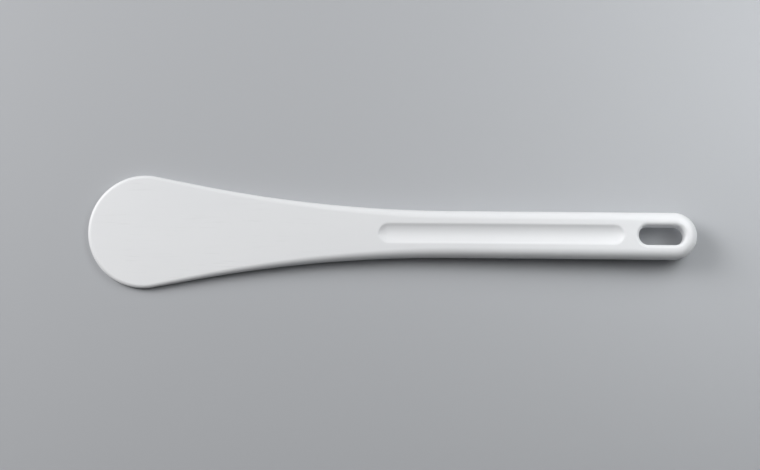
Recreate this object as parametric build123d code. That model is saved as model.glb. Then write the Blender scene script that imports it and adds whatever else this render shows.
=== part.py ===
from build123d import *
import os
from math import atan, cos, degrees, radians, sin, sqrt, tan

# A one-piece moulded mixing spatula: a round flat blade, a neck that narrows on one long
# curve, and a round-edged handle with a shallow grip scoop in each face and a hanging slot.
#
# It is drawn symmetric about its mid-plane, with stations counted from the blade's tip
# along +X, and is then turned to lie on the underside of its blade. Lengths are in mm.

# Driving dimensions: plan outline
LENGTH = 300.0            # tip of the blade to the end of the handle
BLADE_R = 28.0            # the blade's round head
FLARE = radians(10.93)    # how far each side of the neck opens where it leaves the head
HANDLE_WIDTH = 23.0
NECK_END = 180.0          # where the neck's curve has become the parallel handle

# Driving dimensions: thickness
TIP_THICKNESS = 2.0
HANDLE_THICKNESS = 11.4
BLEND = 12.0              # each face turns from neck to handle over this much either side

# Driving dimensions: the bevel on the head's thin working edge
BEVEL_EDGE = 0.9          # thickness left at the very edge
BEVEL_SLOPE = radians(33)

# Driving dimensions: the round edge of the neck and handle
EDGE_START = 34.0         # the round edge runs in between these two stations
EDGE_FULL = 46.0
WALL_MIDDLE = 140.0       # a low flat wall is left between the roundings, from about here
WALL_REACH = 50.0
WALL_HEIGHT = 1.3
HANDLE_WALL = 2.0         # height of that wall along the handle

# Driving dimensions: grip scoop, one in each face of the handle
SCOOP_START = 144.0
SCOOP_END = 264.2
SCOOP_WIDTH = 9.7
SCOOP_DEPTH = 1.5
SCOOP_RIM_R = 1.8

# Driving dimensions: hanging slot
SLOT_LENGTH = 22.3
SLOT_WIDTH = 9.5
SLOT_FROM_END = 17.6      # centre of the slot to the end of the handle
SLOT_RIM_R = 1.7

# The round-edged envelope stands this much outside the faces and sides that trim it, and
# this much more ahead of the neck, where the head keeps its own edge
TRIM = 0.02
HEAD_CLEARANCE = 2.2

# Worked out from those
HALF_THICKNESS = HANDLE_THICKNESS / 2
HALF_WIDTH = HANDLE_WIDTH / 2
END_CENTRE = LENGTH - HALF_WIDTH
TAPER = atan((HALF_THICKNESS - TIP_THICKNESS / 2) / NECK_END)
FLARE_START = BLADE_R * (1 + sin(FLARE))
FLARE_START_Y = BLADE_R * cos(FLARE)
# The neck's curve touches the flared side of the head and, at NECK_END, the handle's side
NECK_R = (HALF_WIDTH - FLARE_START_Y + tan(FLARE) * (NECK_END - FLARE_START)) / (1 / cos(FLARE) - 1)
NECK_START = NECK_END - NECK_R * sin(FLARE)
BLEND_START = NECK_END - BLEND * cos(TAPER)
BLEND_END = NECK_END + BLEND
BLEND_R = BLEND / tan(TAPER / 2)
# A round bar of this radius sinks in to the scoop's depth and leaves the scoop's width
SCOOP_R = (SCOOP_WIDTH**2 / 4 + SCOOP_DEPTH**2) / (2 * SCOOP_DEPTH)


def half_width(station):
    """Half the width of the neck or handle. Ahead of the neck, the flare carries on."""
    if station < NECK_START:
        return FLARE_START_Y - tan(FLARE) * (station - FLARE_START)
    if station < NECK_END:
        return HALF_WIDTH + NECK_R - sqrt(NECK_R**2 - (NECK_END - station) ** 2)
    return HALF_WIDTH


def half_thickness(station):
    """Half the thickness: a straight taper, blended by an arc into the parallel handle."""
    if station < BLEND_START:
        return TIP_THICKNESS / 2 + tan(TAPER) * station
    if station < BLEND_END:
        return HALF_THICKNESS - BLEND_R + sqrt(BLEND_R**2 - (BLEND_END - station) ** 2)
    return HALF_THICKNESS


def ramp(station, start, end):
    """A smooth rise from 0 at the start to 1 at the end."""
    share = min(max((station - start) / (end - start), 0), 1)
    return share**2 * (3 - 2 * share)


def edge_radius(station):
    """The rounding between face and side, which leaves a low flat wall at mid-thickness."""
    neck_wall = WALL_HEIGHT * ramp(station, WALL_MIDDLE - 1.6 * WALL_REACH, WALL_MIDDLE)
    handle_wall = (HANDLE_WALL - WALL_HEIGHT) * ramp(station, WALL_MIDDLE, WALL_MIDDLE + WALL_REACH)
    return half_thickness(station) - (neck_wall + handle_wall) / 2


def across(station):
    """The plane that cuts across the spatula at a station."""
    return Plane(origin=(station, 0, 0), x_dir=(0, 1, 0), z_dir=(1, 0, 0))


def outline():
    """The plan shape, as a slab thicker than the handle."""
    middle = NECK_END - NECK_R * sin(FLARE / 2)
    side = [
        Line((FLARE_START, FLARE_START_Y), (NECK_START, half_width(NECK_START))),
        ThreePointArc(
            (NECK_START, half_width(NECK_START)), (middle, half_width(middle)), (NECK_END, HALF_WIDTH)
        ),
        Line((NECK_END, HALF_WIDTH), (END_CENTRE, HALF_WIDTH)),
    ]
    other_side = [edge.mirror(Plane.XZ) for edge in side]
    head = ThreePointArc((FLARE_START, -FLARE_START_Y), (0, 0), (FLARE_START, FLARE_START_Y))
    end = ThreePointArc((END_CENTRE, HALF_WIDTH), (LENGTH, 0), (END_CENTRE, -HALF_WIDTH))
    return extrude(make_face([head, *side, end, *other_side]), HANDLE_THICKNESS, both=True)


def upper_line(first, last, lift):
    """The line of the upper face seen from the side, raised square to the face by lift."""

    def raised(station, slope):
        return (station - lift * sin(slope), half_thickness(station) + lift * cos(slope))

    blend_start = raised(BLEND_START, TAPER)
    blend_middle = raised(BLEND_END - BLEND_R * sin(TAPER / 2), TAPER / 2)
    blend_end = raised(BLEND_END, 0)
    return [
        Line(raised(first, TAPER), blend_start),
        ThreePointArc(blend_start, blend_middle, blend_end),
        Line(blend_end, raised(last, 0)),
    ]


def side_profile():
    """The shape seen from the side, as a slab wider than the blade."""
    upper = upper_line(0, LENGTH, 0)
    lower = [edge.mirror(Plane.XZ) for edge in upper]
    tip = Line((0, -TIP_THICKNESS / 2), (0, TIP_THICKNESS / 2))
    end = Line((LENGTH, HALF_THICKNESS), (LENGTH, -HALF_THICKNESS))
    return extrude(Plane.XZ * make_face([tip, *upper, end, *lower]), 2 * BLADE_R, both=True)


def envelope_section(station):
    """A section of the round-edged envelope."""
    clearance = TRIM + HEAD_CLEARANCE * (1 - ramp(station, EDGE_START, EDGE_FULL))
    half_y = half_width(station) + clearance
    half_z = half_thickness(station) + TRIM
    return across(station) * RectangleRounded(2 * half_y, 2 * half_z, edge_radius(station))


def envelope():
    """What rounds the long edges of the neck and the handle, and the handle's end."""
    stations = [-2, 16, 34, 38, 42, 46, 55, 70, 90, 110, 130, 150, 168, 174, 180, 186, BLEND_END]
    neck = loft([envelope_section(station) for station in stations])
    handle = extrude(envelope_section(BLEND_END), END_CENTRE - BLEND_END)
    one_side = across(END_CENTRE) * Pos(HALF_WIDTH, 0) * Rectangle(HANDLE_WIDTH, 2 * HANDLE_THICKNESS)
    end = revolve(envelope_section(END_CENTRE) & one_side, Axis((END_CENTRE, 0, 0), (0, 0, 1)), -180)
    return neck + handle + end


def bevel_cutter():
    """What the bevels take off the head's rim, above and below, round its arc only."""
    reach = 6.0
    spare = 2.0
    edge_z = BEVEL_EDGE / 2
    inner = (BLADE_R - reach, edge_z + reach * tan(BEVEL_SLOPE))
    outer = (BLADE_R + spare, edge_z - spare * tan(BEVEL_SLOPE))
    profile = make_face(Polyline(inner, (outer[0], inner[1]), outer, close=True))
    ring = revolve(Plane.XZ * profile, Axis.Z, 180 + 2 * degrees(FLARE))
    ring = Pos(BLADE_R, 0, 0) * Rot(0, 0, 90 - degrees(FLARE)) * ring
    return ring + ring.mirror(Plane.XY)


def scoop_cutter():
    """A round-ended bar that follows the upper face; its lower side is the scoop."""
    first = SCOOP_START + SCOOP_WIDTH / 2
    last = SCOOP_END - SCOOP_WIDTH / 2
    path = Plane.XZ * Wire(upper_line(first, last, SCOOP_R - SCOOP_DEPTH))
    start = Plane(origin=path @ 0, z_dir=path % 0)
    bar = sweep(start * Circle(SCOOP_R), path)
    ends = [Pos(*point) * Sphere(SCOOP_R) for point in (path @ 0, path @ 1)]
    return bar + ends


def slot_cutter():
    """The hanging slot, right through the handle."""
    shape = Pos(LENGTH - SLOT_FROM_END, 0) * SlotOverall(SLOT_LENGTH, SLOT_WIDTH)
    return extrude(shape, HANDLE_THICKNESS, both=True)


def rims(body, first, last, half_y):
    """The edges of an opening on both faces, which lie between two stations."""
    margin = 0.2
    found = []
    for edge in body.edges():
        box = edge.bounding_box()
        middle = edge.position_at(0.5)
        inside = box.min.X > first - margin and box.max.X < last + margin and box.max.Y < half_y + margin
        if inside and abs(abs(middle.Z) - half_thickness(middle.X)) < margin / 2:
            found.append(edge)
    return found


def spatula():
    """The whole moulding, symmetric about its mid-plane."""
    scoop = scoop_cutter()
    body = (outline() & side_profile() & envelope()) - bevel_cutter()
    body = body - scoop - scoop.mirror(Plane.XY) - slot_cutter()
    slot = LENGTH - SLOT_FROM_END
    body = fillet(rims(body, SCOOP_START, SCOOP_END, SCOOP_WIDTH / 2), SCOOP_RIM_R)
    slot_rims = rims(body, slot - SLOT_LENGTH / 2, slot + SLOT_LENGTH / 2, SLOT_WIDTH / 2)
    return fillet(slot_rims, SLOT_RIM_R)


def laid_down(body):
    """The moulding turned onto the underside of its blade, centred along its length."""
    turned = Rot(0, -degrees(TAPER), 0) * body
    box = turned.bounding_box(optimal=True)
    return Pos(-(box.min.X + box.max.X) / 2, 0, -box.min.Z) * turned


os.makedirs("parts", exist_ok=True)
export_step(laid_down(spatula()), "parts/spatula.step")
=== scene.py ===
"""A one-piece moulded mixing spatula, lying on the underside of its blade on a pale table."""

from math import asin, atan, cos, hypot, pi, radians, sin, sqrt, tan

import bmesh
import bpy
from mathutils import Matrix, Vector


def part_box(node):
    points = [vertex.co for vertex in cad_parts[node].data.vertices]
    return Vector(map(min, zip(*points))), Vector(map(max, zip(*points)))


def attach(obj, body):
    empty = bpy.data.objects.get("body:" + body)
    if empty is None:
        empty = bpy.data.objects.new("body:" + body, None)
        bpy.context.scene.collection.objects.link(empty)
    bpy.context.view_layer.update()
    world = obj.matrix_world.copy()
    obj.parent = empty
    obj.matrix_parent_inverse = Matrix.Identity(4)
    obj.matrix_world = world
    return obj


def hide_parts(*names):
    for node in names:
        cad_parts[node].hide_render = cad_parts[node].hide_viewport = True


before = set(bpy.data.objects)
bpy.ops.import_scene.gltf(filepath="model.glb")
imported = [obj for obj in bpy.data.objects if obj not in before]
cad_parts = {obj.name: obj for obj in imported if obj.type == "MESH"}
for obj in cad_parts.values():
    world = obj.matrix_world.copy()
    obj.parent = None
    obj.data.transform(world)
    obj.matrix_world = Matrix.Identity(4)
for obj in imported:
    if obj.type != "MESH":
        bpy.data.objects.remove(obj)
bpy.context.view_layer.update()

# ---------------------------------------------------------------------------------------
# Sizes, in metres. The spatula is modelled as it stands in its mould: stations are counted
# along +X from the blade's tip, and the mould parts at z = 0.
# ---------------------------------------------------------------------------------------
MM = 0.001
TINY = 0.001 * MM

# The plan outline: round head, flared neck, parallel handle
LENGTH = 300 * MM
BLADE_R = 28 * MM
FLARE = radians(10.93)
HALF_WIDTH = 11.5 * MM
NECK_END = 180 * MM

# Thickness, and how far each face's turn from neck to handle reaches either side
TIP_HALF = 1.0 * MM
HALF_THICKNESS = 5.7 * MM
BLEND = 12 * MM

# The long edge's rounding: it deepens slowly along the neck, then fills the handle's edge
EDGE_WALL = 2.0 * MM
EDGE_TIP_DEPTH = 1.25 * MM
EDGE_GROWTH = 0.0185
EDGE_FILL_START = 132 * MM
EDGE_FILL_END = 188 * MM

# The raised line where the mould parts, picked out by its share of half the thickness
PARTING_WALL = 0.3 * MM
PARTING_SHARE = 0.06
PARTING_RIDGE = 0.05 * MM

# The grip scoops; their rims' rounding stops just short of the face
SCOOP_START = 144 * MM
SCOOP_END = 264.2 * MM
SCOOP_WIDTH = 9.7 * MM
SCOOP_DEPTH = 1.5 * MM
SCOOP_RIM_R = 1.8 * MM
RIM_STOP = radians(5)

# The hanging slot
SLOT_LENGTH = 22.3 * MM
SLOT_WIDTH = 9.5 * MM
SLOT_STATION = LENGTH - 17.6 * MM
SLOT_RIM_R = 1.7 * MM

# The ejector pins' prints, and the gate's recess and stub
PIN_R = 2.5 * MM
PIN_DEPTH = 0.1 * MM
PIN_STATIONS = (30 * MM, 78 * MM, 126 * MM)
GATE_R = 1.3 * MM
GATE_DEPTH = 0.4 * MM
GATE_STUB = 0.6

# How finely each curve is divided
CORNER_STEPS = 16
HEAD_STEPS = 72
END_STEPS = 48
BLEND_RINGS = 8
NECK_RINGS = 20
FLARE_RINGS = 4
CUTTER_END_STEPS = 40
HOLLOW_STEPS = 12
SCOOP_RIM_STEPS = 6
SCOOP_BENDS = 8
SLOT_RIM_ANGLES = range(0, 85, 7)
PIN_SIDES = 48
GATE_SIDES = 40

# Edges that turn by less than this are shaded smooth, and broad faces lead the shading
SMOOTH_ANGLE = radians(40)
BROAD_FACE_WEIGHT = 80

# How far a cutter's outer part stands clear of the surface that it cuts, roughly
SPARE = 1 * MM

# Worked out from those
END_STATION = LENGTH - HALF_WIDTH
TAPER = atan((HALF_THICKNESS - TIP_HALF) / NECK_END)
FLARE_STATION = BLADE_R * (1 + sin(FLARE))
FLARE_HALF = BLADE_R * cos(FLARE)
NECK_DROP = HALF_WIDTH - FLARE_HALF + tan(FLARE) * (NECK_END - FLARE_STATION)
NECK_R = NECK_DROP / (1 / cos(FLARE) - 1)
NECK_STATION = NECK_END - NECK_R * sin(FLARE)
BLEND_START = NECK_END - BLEND
BLEND_END = NECK_END + BLEND
BLEND_R = BLEND / tan(TAPER / 2)
SCOOP_R = (SCOOP_WIDTH**2 / 4 + SCOOP_DEPTH**2) / (2 * SCOOP_DEPTH)


def half_width(station):
    """Half the width at a station: round head, flared side, neck's curve or handle."""
    if station < FLARE_STATION:
        return sqrt(BLADE_R**2 - (station - BLADE_R) ** 2)
    if station < NECK_STATION:
        return FLARE_HALF - tan(FLARE) * (station - FLARE_STATION)
    if station < NECK_END:
        return HALF_WIDTH + NECK_R - sqrt(NECK_R**2 - (NECK_END - station) ** 2)
    return HALF_WIDTH


def half_thickness(station):
    """Half the thickness at a station: a straight taper that turns into the parallel handle."""
    if station < BLEND_START:
        return TIP_HALF + tan(TAPER) * station
    if station < BLEND_END:
        return HALF_THICKNESS - BLEND_R + sqrt(BLEND_R**2 - (BLEND_END - station) ** 2)
    return HALF_THICKNESS


def ramp(value, start, end):
    """A smooth rise from 0 at the start to 1 at the end."""
    share = min(max((value - start) / (end - start), 0), 1)
    return share**2 * (3 - 2 * share)


def edge_depth(station):
    """How far in from the outline the rounding of the long edge reaches."""
    thin = EDGE_TIP_DEPTH + EDGE_GROWTH * station
    full = HALF_THICKNESS - EDGE_WALL / 2
    return thin + (full - thin) * ramp(station, EDGE_FILL_START, EDGE_FILL_END)


# ---------------------------------------------------------------------------------------
# Hand tools
# ---------------------------------------------------------------------------------------
def take(piece):
    """Makes a piece the only one selected, and the active one."""
    bpy.ops.object.select_all(action="DESELECT")
    bpy.context.view_layer.objects.active = piece
    piece.select_set(True)


def new_piece(name, add, **words):
    """Adds a primitive under a name, with its place in its mesh, and opens it for editing."""
    bpy.ops.object.select_all(action="DESELECT")
    add(**words)
    piece = bpy.context.object
    piece.name = name
    piece.data.name = name
    bpy.ops.object.transform_apply(location=True, rotation=True, scale=True)
    bpy.ops.object.mode_set(mode="EDIT")
    bpy.ops.mesh.select_mode(type="VERT")
    return piece


def pick(test):
    """Selects the points of the mesh being edited whose places pass a test."""
    mesh = bmesh.from_edit_mesh(bpy.context.edit_object.data)
    bpy.ops.mesh.select_all(action="DESELECT")
    for point in mesh.verts:
        point.select_set(test(point.co))
    mesh.select_flush(True)
    bmesh.update_edit_mesh(bpy.context.edit_object.data)


def move(x=0, y=0, z=0):
    bpy.ops.transform.translate(value=(x, y, z))


def stretch(x=1, y=1, z=1, about=(0, 0, 0)):
    bpy.ops.transform.resize(value=(x, y, z), center_override=about)


def turn(angle, axis, about):
    bpy.ops.transform.rotate(value=angle, orient_axis=axis, center_override=about)


def finish_edit():
    bpy.ops.object.mode_set(mode="OBJECT")


def apply_modifier(piece, kind, **settings):
    """Adds a modifier to a piece and applies it."""
    take(piece)
    modifier = piece.modifiers.new(kind.lower(), kind)
    for name, value in settings.items():
        setattr(modifier, name, value)
    bpy.ops.object.modifier_apply(modifier=modifier.name)


def cut(piece, cutter):
    """Cuts one closed shape out of a piece and throws the cutter away."""
    apply_modifier(piece, "BOOLEAN", operation="DIFFERENCE", solver="EXACT", object=cutter)
    bpy.data.objects.remove(cutter)


# ---------------------------------------------------------------------------------------
# The moulding
# ---------------------------------------------------------------------------------------
def evenly(first, last, count):
    """Stations from one to another in equal steps, without the first."""
    return [first + (last - first) * step / count for step in range(1, count + 1)]


def fit_section(station, before):
    """Shapes the open end, just drawn out to a station, to that station's section."""
    pick(lambda co: abs(co.x - station) < TINY)
    stretch(z=half_thickness(station) / half_thickness(before), about=(station, 0, 0))
    wider = edge_depth(station) / edge_depth(before)
    land_before = half_width(before) - edge_depth(before)
    land = half_width(station) - edge_depth(station)
    for side in (1, -1):
        pick(lambda co: abs(co.x - station) < TINY and co.y * side > TINY)
        stretch(y=wider, about=(station, side * land_before, 0))
        move(y=side * (land - land_before))


def draw_body():
    """The blade, neck and handle: a rounded section drawn out, and spun round at both ends."""
    middle = (END_STATION, 0, 0)
    body = new_piece(
        "spatula_body",
        bpy.ops.mesh.primitive_plane_add,
        size=2,
        location=middle,
        rotation=(0, pi / 2, 0),
    )
    bpy.ops.mesh.select_all(action="SELECT")
    stretch(y=HALF_WIDTH, z=HALF_THICKNESS, about=middle)
    corner = HALF_THICKNESS - EDGE_WALL / 2
    bpy.ops.mesh.bevel(
        offset=corner, segments=CORNER_STEPS, affect="VERTICES", clamp_overlap=False
    )

    # The section becomes a bare outline, with points in the middle of both faces and on
    # both sides of the parting line
    bpy.ops.mesh.select_all(action="SELECT")
    bpy.ops.mesh.bisect(plane_co=(0, 0, 0), plane_no=(0, 1, 0))
    bpy.ops.mesh.select_all(action="SELECT")
    bpy.ops.mesh.delete(type="ONLY_FACE")
    pick(lambda co: abs(co.y) < TINY)
    bpy.ops.mesh.select_mode(type="EDGE")
    bpy.ops.mesh.delete(type="EDGE")
    for height in (PARTING_WALL / 2, -PARTING_WALL / 2):
        bpy.ops.mesh.select_all(action="SELECT")
        bpy.ops.mesh.bisect(plane_co=(0, 0, height), plane_no=(0, 0, 1))
    bpy.ops.mesh.select_mode(type="VERT")

    # It is drawn out from the handle's end to the head, and shaped at each station
    stations = [BLEND_END]
    stations += evenly(BLEND_END, BLEND_START, BLEND_RINGS)
    stations += evenly(BLEND_START, NECK_STATION, NECK_RINGS)
    stations += evenly(NECK_STATION, FLARE_STATION, FLARE_RINGS)
    stations += evenly(FLARE_STATION, BLADE_R, FLARE_RINGS)
    before = END_STATION
    pick(lambda co: True)
    for station in stations:
        step = (station - before, 0, 0)
        bpy.ops.mesh.extrude_region_move(TRANSFORM_OT_translate={"value": step})
        fit_section(station, before)
        pick(lambda co: abs(co.x - station) < TINY)
        before = station

    # Half of it is spun round at the head and at the handle's end
    for station, angle, steps in ((BLADE_R, -pi, HEAD_STEPS), (END_STATION, pi, END_STEPS)):
        pick(lambda co: abs(co.x - station) < TINY and co.y > -TINY)
        bpy.ops.mesh.spin(steps=steps, angle=angle, center=(station, 0, 0), axis=(0, 0, 1))
    bpy.ops.mesh.select_all(action="SELECT")
    bpy.ops.mesh.remove_doubles(threshold=0.5 * TINY)
    bpy.ops.mesh.normals_make_consistent(inside=False)
    finish_edit()
    return body


def thin_head(body):
    """Thins the round head towards its tip, by a cage of eight corners pulled in at the tip."""
    take(body)
    bpy.ops.object.mode_set(mode="EDIT")
    pick(lambda co: co.x < BLADE_R + TINY)
    bpy.ops.object.vertex_group_add()
    bpy.ops.object.vertex_group_assign()
    body.vertex_groups.active.name = "head"
    finish_edit()
    bpy.ops.object.add(type="LATTICE", location=(BLADE_R / 2, 0, 0))
    cage = bpy.context.object
    cage.scale = (BLADE_R, 3 * BLADE_R, BLADE_R)
    cage.data.interpolation_type_u = "KEY_LINEAR"
    cage.data.interpolation_type_v = "KEY_LINEAR"
    cage.data.interpolation_type_w = "KEY_LINEAR"
    for corner in cage.data.points:
        if corner.co.x < 0:
            corner.co_deform.z *= TIP_HALF / half_thickness(BLADE_R)
    bpy.context.view_layer.update()
    apply_modifier(body, "LATTICE", object=cage, vertex_group="head")
    bpy.data.objects.remove(cage)
    body.vertex_groups.clear()


def raise_parting_line(body):
    """Leaves the fine raised line where the two halves of the mould met, all round the edge."""
    take(body)
    bpy.ops.object.mode_set(mode="EDIT")
    pick(lambda co: abs(co.z) < PARTING_SHARE * half_thickness(co.x))
    bpy.ops.mesh.extrude_region_shrink_fatten(
        TRANSFORM_OT_shrink_fatten={"value": PARTING_RIDGE}
    )
    finish_edit()


def racetrack(name, first, last, profile):
    """A closed cutter with full-round ends: one profile, spun half round at two stations.

    The profile is a list of (reach from the middle line, height), from the middle line out
    and back to it.
    """
    cutter = new_piece(name, bpy.ops.mesh.primitive_plane_add, size=MM, location=(first, 0, 0))
    bpy.ops.mesh.select_all(action="SELECT")
    bpy.ops.mesh.merge(type="CENTER")
    reach, height = profile[0]
    move(y=reach, z=height)
    for next_reach, next_height in profile[1:]:
        step = (0, next_reach - reach, next_height - height)
        bpy.ops.mesh.extrude_vertices_move(TRANSFORM_OT_translate={"value": step})
        reach, height = next_reach, next_height
    bpy.ops.mesh.select_all(action="SELECT")
    for middle, length in ((first, last - first), (last, first - last)):
        bpy.ops.mesh.spin(
            steps=CUTTER_END_STEPS, angle=-pi, center=(middle, 0, 0), axis=(0, 0, 1)
        )
        bpy.ops.mesh.extrude_region_move(TRANSFORM_OT_translate={"value": (length, 0, 0)})
    bpy.ops.mesh.select_all(action="SELECT")
    bpy.ops.mesh.remove_doubles(threshold=TINY)
    bpy.ops.mesh.normals_make_consistent(inside=False)
    return cutter


def scoop_profile():
    """The scoop's hollow arc, its rounded rim, and a box above the face."""
    rim_r = SCOOP_RIM_R
    rim_reach = sqrt((SCOOP_R + rim_r) ** 2 - (SCOOP_R - SCOOP_DEPTH + rim_r) ** 2)
    meet = asin(rim_reach / (SCOOP_R + rim_r))
    centre = HALF_THICKNESS + SCOOP_R - SCOOP_DEPTH
    hollow = [0, *evenly(0, meet, HOLLOW_STEPS)]
    rim = evenly(meet, RIM_STOP, SCOOP_RIM_STEPS)
    profile = [(SCOOP_R * sin(angle), centre - SCOOP_R * cos(angle)) for angle in hollow]
    profile += [
        (rim_reach - rim_r * sin(angle), HALF_THICKNESS - rim_r * (1 - cos(angle)))
        for angle in rim
    ]
    reach, height = profile[-1]
    top = HALF_THICKNESS + 2 * SPARE
    profile += [(reach + SPARE, height + SPARE * tan(RIM_STOP)), (reach + SPARE, top), (0, top)]
    return profile


def scoop_cutter(face):
    """What is scooped from the upper (1) or lower (-1) face, bent to follow the face."""
    first = SCOOP_START + SCOOP_WIDTH / 2
    last = SCOOP_END - SCOOP_WIDTH / 2
    profile = [(reach, face * height) for reach, height in scoop_profile()]
    cutter = racetrack("scoop_cutter", first, last, profile)
    spacing = 2 * BLEND / SCOOP_BENDS
    bends = [BLEND_END - bend * spacing for bend in range(SCOOP_BENDS)]
    for station in bends:
        bpy.ops.mesh.select_all(action="SELECT")
        bpy.ops.mesh.bisect(plane_co=(station, 0, 0), plane_no=(1, 0, 0))
    for station in bends:
        pivot = (station - spacing / 2, 0, face * half_thickness(station))
        pick(lambda co: co.x < station - TINY)
        turn(face * TAPER / SCOOP_BENDS, "Y", pivot)
    finish_edit()
    return cutter


def slot_cutter():
    """The hanging slot, whose flared ends round both its rims."""
    half_length = (SLOT_LENGTH - SLOT_WIDTH) / 2
    rim_start = HALF_THICKNESS - SLOT_RIM_R
    upper = [
        (SLOT_WIDTH / 2 + SLOT_RIM_R * (1 - cos(angle)), rim_start + SLOT_RIM_R * sin(angle))
        for angle in map(radians, SLOT_RIM_ANGLES)
    ]
    reach, height = upper[-1]
    upper += [(reach + SPARE, height + SPARE), (0, height + SPARE)]
    lower = [(reach, -height) for reach, height in reversed(upper)]
    first = SLOT_STATION - half_length
    last = SLOT_STATION + half_length
    cutter = racetrack("slot_cutter", first, last, lower + upper)
    finish_edit()
    return cutter


def pin_mark(station):
    """The faint round print of an ejector pin in the underside of the blade or neck."""
    face = -half_thickness(station)
    cutter = new_piece(
        "pin_cutter",
        bpy.ops.mesh.primitive_cylinder_add,
        vertices=PIN_SIDES,
        radius=PIN_R,
        depth=SPARE,
        location=(station, 0, face - SPARE / 2 + PIN_DEPTH),
        rotation=(0, TAPER, 0),
    )
    finish_edit()
    return cutter


def gate_mark():
    """The round recess in the handle's end where the plastic came in, with its broken stub."""
    cutter = new_piece(
        "gate_cutter",
        bpy.ops.mesh.primitive_cylinder_add,
        vertices=GATE_SIDES,
        radius=GATE_R,
        depth=2 * SPARE,
        location=(LENGTH + SPARE - GATE_DEPTH, 0, 0),
        rotation=(0, pi / 2, 0),
    )
    pick(lambda co: co.x < LENGTH)
    bpy.ops.mesh.inset(thickness=GATE_STUB * GATE_R)
    move(x=GATE_STUB * GATE_DEPTH)
    finish_edit()
    return cutter


def mark_rim(body):
    """Notes how far round the long edge each point lies: 0 on a face, 1 at the parting line."""
    rim = body.data.attributes.new("rim", "FLOAT", "POINT")
    for point, mark in zip(body.data.vertices, rim.data):
        x, y, _ = point.co
        if x < BLADE_R:
            inward = BLADE_R - hypot(x - BLADE_R, y)
        elif x > END_STATION:
            inward = HALF_WIDTH - hypot(x - END_STATION, y)
        else:
            inward = half_width(x) - abs(y)
        mark.value = min(max(1 - inward / edge_depth(x), 0), 1)


def lay_down(body):
    """Turns the moulding onto the underside of its blade and sets it in the CAD part's box."""
    take(body)
    body.rotation_euler = (0, -TAPER, 0)
    bpy.ops.object.transform_apply(location=False, rotation=True, scale=False)
    places = [point.co for point in body.data.vertices]
    low = min(place.z for place in places if place.x < BLEND_START)
    middle = (min(place.x for place in places) + max(place.x for place in places)) / 2
    box_low, box_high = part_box("spatula")
    body.location = ((box_low[0] + box_high[0]) / 2 - middle, 0, box_low[2] - low)
    bpy.ops.object.transform_apply(location=True, rotation=False, scale=False)


def make_spatula():
    body = draw_body()
    thin_head(body)
    raise_parting_line(body)
    cutters = [scoop_cutter(1), scoop_cutter(-1), slot_cutter(), gate_mark()]
    cutters += map(pin_mark, PIN_STATIONS)
    for cutter in cutters:
        cut(body, cutter)
    mark_rim(body)
    lay_down(body)
    take(body)
    bpy.ops.object.shade_smooth_by_angle(angle=SMOOTH_ANGLE)
    apply_modifier(
        body, "WEIGHTED_NORMAL", mode="FACE_AREA", weight=BROAD_FACE_WEIGHT, keep_sharp=True
    )
    return body


# ---------------------------------------------------------------------------------------
# Finish
# ---------------------------------------------------------------------------------------
class Finish:
    """A procedural material, built one node at a time."""

    def __init__(self, name):
        self.material = bpy.data.materials.new(name)
        self.material.use_nodes = True
        self.tree = self.material.node_tree
        self.shader = self.tree.nodes["Principled BSDF"]
        self.place = self.add("ShaderNodeTexCoord").outputs["Object"]

    def add(self, kind, inputs=(), **settings):
        """Adds a node and feeds its sockets, each from a value or from another node's output."""
        node = self.tree.nodes.new(kind)
        for name, value in settings.items():
            setattr(node, name, value)
        for name, value in dict(inputs).items():
            if isinstance(value, bpy.types.NodeSocket):
                self.tree.links.new(value, node.inputs[name])
            else:
                node.inputs[name].default_value = value
        return node

    def noise(self, per_metre, detail=2.0, drawn_out=1, turned=0):
        """A noise of so many features per metre, drawn out along X and turned in plan."""
        scale = (per_metre / drawn_out, per_metre, per_metre)
        mapping = {"Vector": self.place, "Rotation": (0, 0, turned), "Scale": scale}
        place = self.add("ShaderNodeMapping", mapping).outputs["Vector"]
        pattern = {"Vector": place, "Scale": 1.0, "Detail": detail, "Roughness": 0.55}
        return self.add("ShaderNodeTexNoise", pattern).outputs["Fac"]

    def span(self, value, low, high, to_low=0.0, to_high=1.0):
        """Turns one range of values into another, and stops at its ends."""
        ends = {"From Min": low, "From Max": high, "To Min": to_low, "To Max": to_high}
        return self.add("ShaderNodeMapRange", {"Value": value, **ends}).outputs["Result"]

    def sum(self, *parts):
        """Adds up (value, weight) pairs."""
        total = 0.0
        for value, weight in parts:
            step = {0: value, 1: weight, 2: total}
            total = self.add("ShaderNodeMath", step, operation="MULTIPLY_ADD").outputs["Value"]
        return total

    def times(self, first, second):
        product = self.add("ShaderNodeMath", {0: first, 1: second}, operation="MULTIPLY")
        return product.outputs["Value"]

    def tint(self, under, over, share):
        """One colour laid over another."""
        mix = self.add("ShaderNodeMix", {"Factor": share}, data_type="RGBA")
        for socket, colour in ((mix.inputs[6], under), (mix.inputs[7], over)):
            if isinstance(colour, bpy.types.NodeSocket):
                self.tree.links.new(colour, socket)
            else:
                socket.default_value = (*colour, 1)
        return mix.outputs[2]


# The plastic's colours
CLEAN_WHITE = (0.802, 0.806, 0.818)
CLOUDED_WHITE = (0.776, 0.782, 0.797)
RUBBED_WHITE = (0.745, 0.750, 0.756)
SCUFFED_WHITE = (0.70, 0.705, 0.715)
RUB_SHARE = 0.35
SCUFF_SHARE = 0.30

# How glossy it is, and what each mark adds to its roughness
PLASTIC_IOR = 1.5
ROUGHNESS = 0.35
CLOUD_ROUGHNESS = 0.06
MOTTLE_ROUGHNESS = 0.05
SCUFF_ROUGHNESS = 0.12
RUB_ROUGHNESS = -0.07

# The scuffs fade in between these two places along the blade
SCUFF_FADE_START = -20 * MM
SCUFF_FADE_END = -65 * MM

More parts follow.
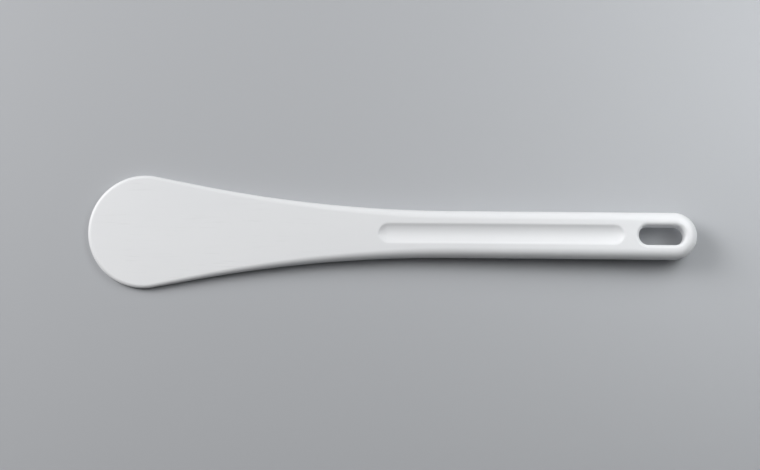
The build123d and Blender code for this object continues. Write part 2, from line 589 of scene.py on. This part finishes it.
# The relief: its height and strength, and each mark's part in it
RELIEF = 0.012 * MM
RELIEF_STRENGTH = 0.6
GRAIN_HEIGHT = 1.0
MOTTLE_HEIGHT = 1.6
CLOUD_HEIGHT = 5.0
SCUFF_HEIGHT = -1.5

# How far light spreads under the surface, and how much of it does
LIGHT_SPREAD = 1.5 * MM
LIGHT_SPREAD_SHARE = 0.08


def hair_scuffs(finish):
    """Two sets of fine crossing strokes on the blade, in loose patches."""
    station = finish.add("ShaderNodeSeparateXYZ", {"Vector": finish.place}).outputs["X"]
    on_blade = finish.span(station, SCUFF_FADE_START, SCUFF_FADE_END)
    patches = finish.span(finish.noise(55), 0.44, 0.62)
    lines = finish.noise(900, detail=1, drawn_out=45, turned=radians(8))
    crossing = finish.noise(800, detail=1, drawn_out=30, turned=radians(-27))
    strokes = finish.sum(
        (finish.span(lines, 0.63, 0.70), 1.0), (finish.span(crossing, 0.66, 0.72), 0.8)
    )
    return finish.times(finish.times(strokes, patches), on_blade)


def white_plastic():
    """Cool white moulded plastic: satin, faintly clouded, fine-grained, rubbed at its rim."""
    finish = Finish("white_plastic")
    cloud = finish.noise(26, detail=3, drawn_out=3)
    clouded = finish.span(cloud, 0.3, 0.7)
    mottle = finish.noise(210)
    grain = finish.noise(1150)
    scuffs = hair_scuffs(finish)
    rim = finish.add("ShaderNodeAttribute", attribute_name="rim").outputs["Fac"]
    uneven = finish.span(mottle, 0.38, 0.62, 0.35, 1.0)
    rubbed = finish.times(finish.span(rim, 0.45, 1.0), uneven)

    colour = finish.tint(CLEAN_WHITE, CLOUDED_WHITE, clouded)
    colour = finish.tint(colour, RUBBED_WHITE, finish.times(rubbed, RUB_SHARE))
    colour = finish.tint(colour, SCUFFED_WHITE, finish.times(scuffs, SCUFF_SHARE))
    roughness = finish.sum(
        (clouded, CLOUD_ROUGHNESS),
        (mottle, MOTTLE_ROUGHNESS),
        (scuffs, SCUFF_ROUGHNESS),
        (rubbed, RUB_ROUGHNESS),
        (ROUGHNESS, 1.0),
    )
    height = finish.sum(
        (grain, GRAIN_HEIGHT), (mottle, MOTTLE_HEIGHT), (cloud, CLOUD_HEIGHT), (scuffs, SCUFF_HEIGHT)
    )
    relief = finish.add(
        "ShaderNodeBump", {"Height": height, "Strength": RELIEF_STRENGTH, "Distance": RELIEF}
    )

    links = finish.tree.links
    inputs = finish.shader.inputs
    links.new(colour, inputs["Base Color"])
    links.new(roughness, inputs["Roughness"])
    links.new(relief.outputs["Normal"], inputs["Normal"])
    inputs["IOR"].default_value = PLASTIC_IOR
    inputs["Subsurface Weight"].default_value = LIGHT_SPREAD_SHARE
    inputs["Subsurface Radius"].default_value = (1.0, 1.0, 1.0)
    inputs["Subsurface Scale"].default_value = LIGHT_SPREAD
    return finish.material


body = make_spatula()
body.data.materials.append(white_plastic())
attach(body, "root")
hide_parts("spatula")


# ---------------------------------------------------------------------------------------
# Table, light and camera
# ---------------------------------------------------------------------------------------
def table():
    """A wide pale table, a hair below the plane that the spatula lies on."""
    bpy.ops.object.select_all(action="DESELECT")
    bpy.ops.mesh.primitive_plane_add(size=6, location=(0, 0, -0.02 * MM))
    top = bpy.context.object
    top.name = "table"
    material = bpy.data.materials.new("pale_table")
    material.use_nodes = True
    shader = material.node_tree.nodes["Principled BSDF"]
    shader.inputs["Base Color"].default_value = (0.45, 0.46, 0.48, 1)
    shader.inputs["Roughness"].default_value = 0.8
    top.data.materials.append(material)


def panel(name, size, strength, place, aim=(0, 0, 0), colour=(1, 1, 1)):
    """A square soft light at a place, facing a point."""
    bpy.ops.object.light_add(type="AREA", location=place)
    light = bpy.context.object
    light.name = name
    light.data.size = size
    light.data.energy = strength
    light.data.color = colour
    light.rotation_euler = (Vector(aim) - Vector(place)).to_track_quat("-Z", "Y").to_euler()


def lights():
    """A low soft key from the left, two cooler lights by the handle's end, one over the blade."""
    panel("key_light", size=0.6, strength=10.2, place=(-0.82, 0.43, 0.60))
    panel(
        "right_light",
        size=0.35,
        strength=0.95,
        place=(0.36, 0.29, 0.35),
        aim=(0.17, 0, 0),
        colour=(0.96, 0.985, 1.0),
    )
    panel(
        "handle_light",
        size=0.2,
        strength=0.5,
        place=(0.30, 0.10, 0.26),
        aim=(0.16, 0, 0),
        colour=(0.98, 1.0, 1.0),
    )
    panel("blade_light", size=0.4, strength=0.85, place=(-0.42, 0.1, 0.70), aim=(-0.15, 0, 0))
    world = bpy.data.worlds.new("room")
    world.use_nodes = True
    background = world.node_tree.nodes["Background"]
    background.inputs["Color"].default_value = (1, 1, 1, 1)
    background.inputs["Strength"].default_value = 0.04
    bpy.context.scene.world = world
    bpy.context.scene.view_settings.view_transform = "Standard"


def camera():
    """Looks down on the table from a little towards the near side."""
    lean = radians(6.4)
    roll = radians(0.68)
    distance = 0.85
    field = 0.3742
    sensor_width = 36
    aim = Vector((-0.0054, -0.0007, 0.006))
    towards_eye = Vector((sin(lean) * sin(roll), -sin(lean) * cos(roll), cos(lean)))
    bpy.ops.object.camera_add()
    eye = bpy.context.object
    eye.name = "camera"
    eye.location = aim + distance * towards_eye
    eye.rotation_euler = (lean, 0, roll)
    eye.data.sensor_width = sensor_width
    eye.data.lens = sensor_width * distance / field
    bpy.context.scene.camera = eye


table()
lights()
camera()
